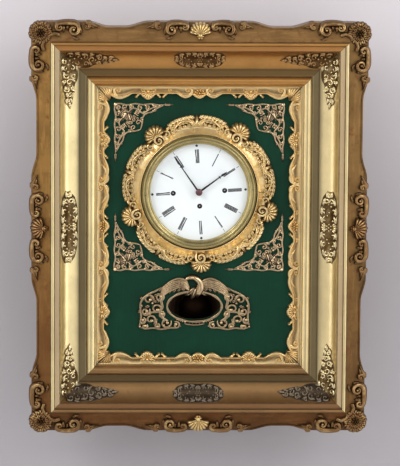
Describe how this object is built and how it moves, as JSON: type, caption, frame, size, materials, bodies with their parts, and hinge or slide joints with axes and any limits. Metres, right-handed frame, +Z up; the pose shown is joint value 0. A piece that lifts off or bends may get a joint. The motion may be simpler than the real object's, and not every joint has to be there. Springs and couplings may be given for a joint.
{
  "type": "picture frame clock",
  "caption": "Wall clock in a moulded gilt picture frame, hinged to a shallow wooden box with a three-train movement and a short pendulum.",
  "frame": {"origin": "on the wall, in the middle of the back board's rear face", "axes": "+Z up, +Y into the wall, so the dial faces -Y; +X to the viewer's right"},
  "size_m": [0.529, 0.138, 0.649],
  "materials": {
    "pine": "old stained softwood",
    "iron": "dark iron",
    "steel": "polished steel",
    "hinge_brass": "dull brass",
    "gilding": "worn leaf gilding on wood",
    "liner_gilding": "leaf gilding on carved wood",
    "green_panel": "dark green paint",
    "bright_gilding": "bright leaf gilding",
    "cast_brass": "old cast brass",
    "cast_gilt": "gilt castings",
    "dark_gilding": "dark bronzed gilding",
    "clock_brass": "polished clock brass",
    "enamel": "white fired enamel",
    "bezel_brass": "turned brass gone olive",
    "blued_steel": "blued steel wire",
    "hand_steel": "dark blued steel",
    "bob_bronze": "dark bronze"
  },
  "bodies": {
    "clock_case": {"back_board": "pine", "box_sides": "pine", "box_ends": "pine", "hanging_plate": "iron", "box_hinge_leaves": "hinge_brass", "hinge_pins": "steel", "movement_posts": "steel", "front_plate": "clock_brass", "back_plate": "clock_brass", "pillars": "clock_brass", "dial_plate": "clock_brass", "dial": "enamel", "bezel": "bezel_brass", "bezel_screws": "iron", "suspension_cock": "clock_brass", "gong_block": "iron", "hour_gong": "blued_steel", "quarter_gong": "blued_steel"},
    "catch": {"catch_hook": "hinge_brass"},
    "front_frame": {"frame_top": "gilding", "frame_bottom": "gilding", "frame_left": "gilding", "frame_right": "gilding", "liner_top": "liner_gilding", "liner_bottom": "liner_gilding", "liner_left": "liner_gilding", "liner_right": "liner_gilding", "door_panel": "green_panel", "dial_surround": "bright_gilding", "spandrels": "cast_brass", "window_ornament": "cast_brass", "cove_ornaments": "cast_gilt", "corner_clusters": "dark_gilding", "edge_crests": "dark_gilding", "frame_hinge_leaves": "hinge_brass", "catch_stud": "hinge_brass"},
    "centre_arbor": {"centre_wheel": "clock_brass", "cannon_pinion": "steel", "minute_hand": "hand_steel"},
    "hour_pipe": {"hour_wheel": "clock_brass", "hour_hand": "hand_steel"},
    "motion_wheel": {"minute_wheel": "clock_brass"},
    "third_arbor": {"third_wheel": "clock_brass"},
    "escape_arbor": {"escape_wheel": "clock_brass"},
    "anchor_arbor": {"pallet_anchor": "steel"},
    "pendulum": {"pendulum_rod": "clock_brass"},
    "bob": {"pendulum_bob": "bob_bronze"},
    "nut": {"rating_nut": "clock_brass"},
    "going_drum": {"going_barrel": "clock_brass"},
    "going_key_arbor": {"going_arbor": "steel"},
    "hour_drum": {"hour_barrel": "clock_brass"},
    "hour_key_arbor": {"hour_arbor": "steel"},
    "quarter_drum": {"quarter_barrel": "clock_brass"},
    "quarter_key_arbor": {"quarter_arbor": "steel"},
    "hour_pins": {"hour_pin_wheel": "clock_brass"},
    "quarter_pins": {"quarter_pin_wheel": "clock_brass"},
    "hour_vane": {"hour_fly": "clock_brass"},
    "quarter_vane": {"quarter_fly": "clock_brass"},
    "hour_hammer_arbor": {"hour_hammer": "clock_brass"},
    "quarter_hammer_arbor": {"quarter_hammer": "clock_brass"}
  },
  "joints": [
    {"name": "frame_swing", "type": "hinge", "parent": "clock_case", "child": "front_frame", "pos_m": [-0.1534, -0.0862, 0], "axis": [0, 0, -1], "range_deg": [0, 50]},
    {"name": "catch_turn", "type": "hinge", "parent": "clock_case", "child": "catch", "pos_m": [0.15, -0.062, 0], "axis": [-1, 0, 0], "range_deg": [0, 90]},
    {"name": "minute_turn", "type": "hinge", "parent": "clock_case", "child": "centre_arbor", "pos_m": [0, -0.045, 0.054], "axis": [0, -1, 0], "continuous": true},
    {"name": "hour_turn", "type": "hinge", "parent": "clock_case", "child": "hour_pipe", "pos_m": [0, -0.045, 0.054], "axis": [0, -1, 0], "continuous": true},
    {"name": "motion_turn", "type": "hinge", "parent": "clock_case", "child": "motion_wheel", "pos_m": [-0.00084, -0.045, 0.06898], "axis": [0, -1, 0], "continuous": true},
    {"name": "third_turn", "type": "hinge", "parent": "clock_case", "child": "third_arbor", "pos_m": [0.0087, -0.045, 0.07174], "axis": [0, -1, 0], "continuous": true},
    {"name": "escape_turn", "type": "hinge", "parent": "clock_case", "child": "escape_arbor", "pos_m": [-0.0019, -0.045, 0.08795], "axis": [0, -1, 0], "continuous": true},
    {"name": "going_turn", "type": "hinge", "parent": "clock_case", "child": "going_drum", "pos_m": [0.00125, -0.045, 0.03163], "axis": [0, -1, 0], "continuous": true},
    {"name": "going_wind", "type": "hinge", "parent": "clock_case", "child": "going_key_arbor", "pos_m": [0.00125, -0.045, 0.03163], "axis": [0, -1, 0], "continuous": true},
    {"name": "hour_strike_turn", "type": "hinge", "parent": "clock_case", "child": "hour_drum", "pos_m": [-0.04024, -0.045, 0.05175], "axis": [0, -1, 0], "continuous": true},
    {"name": "hour_strike_wind", "type": "hinge", "parent": "clock_case", "child": "hour_key_arbor", "pos_m": [-0.04024, -0.045, 0.05175], "axis": [0, -1, 0], "continuous": true},
    {"name": "quarter_strike_turn", "type": "hinge", "parent": "clock_case", "child": "quarter_drum", "pos_m": [0.04024, -0.045, 0.05625], "axis": [0, -1, 0], "continuous": true},
    {"name": "quarter_strike_wind", "type": "hinge", "parent": "clock_case", "child": "quarter_key_arbor", "pos_m": [0.04024, -0.045, 0.05625], "axis": [0, -1, 0], "continuous": true},
    {"name": "hour_pins_turn", "type": "hinge", "parent": "clock_case", "child": "hour_pins", "pos_m": [-0.03725, -0.045, 0.07677], "axis": [0, -1, 0], "continuous": true},
    {"name": "quarter_pins_turn", "type": "hinge", "parent": "clock_case", "child": "quarter_pins", "pos_m": [0.03448, -0.045, 0.08078], "axis": [0, -1, 0], "continuous": true},
    {"name": "hour_fly_turn", "type": "hinge", "parent": "clock_case", "child": "hour_vane", "pos_m": [-0.03826, -0.045, 0.09475], "axis": [0, -1, 0], "continuous": true},
    {"name": "quarter_fly_turn", "type": "hinge", "parent": "clock_case", "child": "quarter_vane", "pos_m": [0.03348, -0.045, 0.09876], "axis": [0, -1, 0], "continuous": true},
    {"name": "pendulum_swing", "type": "hinge", "parent": "clock_case", "child": "pendulum", "pos_m": [-0.00279, -0.03, 0.10392], "axis": [0, -1, 0], "range_deg": [-5, 5]},
    {"name": "anchor_rock", "type": "hinge", "parent": "clock_case", "child": "anchor_arbor", "pos_m": [-0.00279, -0.03, 0.10392], "axis": [0, -1, 0], "range_deg": [-5, 5]},
    {"name": "nut_turn", "type": "hinge", "parent": "bob", "child": "nut", "pos_m": [-0.00279, -0.03, 0.10392], "axis": [0, 0, 1], "range_deg": [-1081, 1081]},
    {"name": "bob_slide", "type": "slide", "parent": "pendulum", "child": "bob", "axis": [0, 0, 1], "range_m": [-0.0021, 0.0021]},
    {"name": "hour_hammer_lift", "type": "hinge", "parent": "clock_case", "child": "hour_hammer_arbor", "pos_m": [-0.05823, -0.045, 0.0207], "axis": [0, 1, 0], "range_deg": [0, 12], "stiffness_Nm_per_rad": 0.03, "springref_deg": -17.19},
    {"name": "quarter_hammer_lift", "type": "hinge", "parent": "clock_case", "child": "quarter_hammer_arbor", "pos_m": [0.06158, -0.045, 0.0274], "axis": [0, -1, 0], "range_deg": [0, 12], "stiffness_Nm_per_rad": 0.03, "springref_deg": -17.19}
  ],
  "couplings": [
    {"joint": "hour_turn", "follows": "minute_turn", "ratio": 0.083333},
    {"joint": "motion_turn", "follows": "minute_turn", "ratio": -0.33333},
    {"joint": "third_turn", "follows": "minute_turn", "ratio": -12},
    {"joint": "escape_turn", "follows": "minute_turn", "ratio": 120},
    {"joint": "going_turn", "follows": "minute_turn", "ratio": -0.16667},
    {"joint": "anchor_rock", "follows": "pendulum_swing", "ratio": 1},
    {"joint": "nut_turn", "follows": "bob_slide", "rad_per_m": 8976},
    {"joint": "hour_pins_turn", "follows": "hour_strike_turn", "ratio": -6.875},
    {"joint": "hour_fly_turn", "follows": "hour_strike_turn", "ratio": 55},
    {"joint": "quarter_pins_turn", "follows": "quarter_strike_turn", "ratio": -6.875},
    {"joint": "quarter_fly_turn", "follows": "quarter_strike_turn", "ratio": 55}
  ]
}
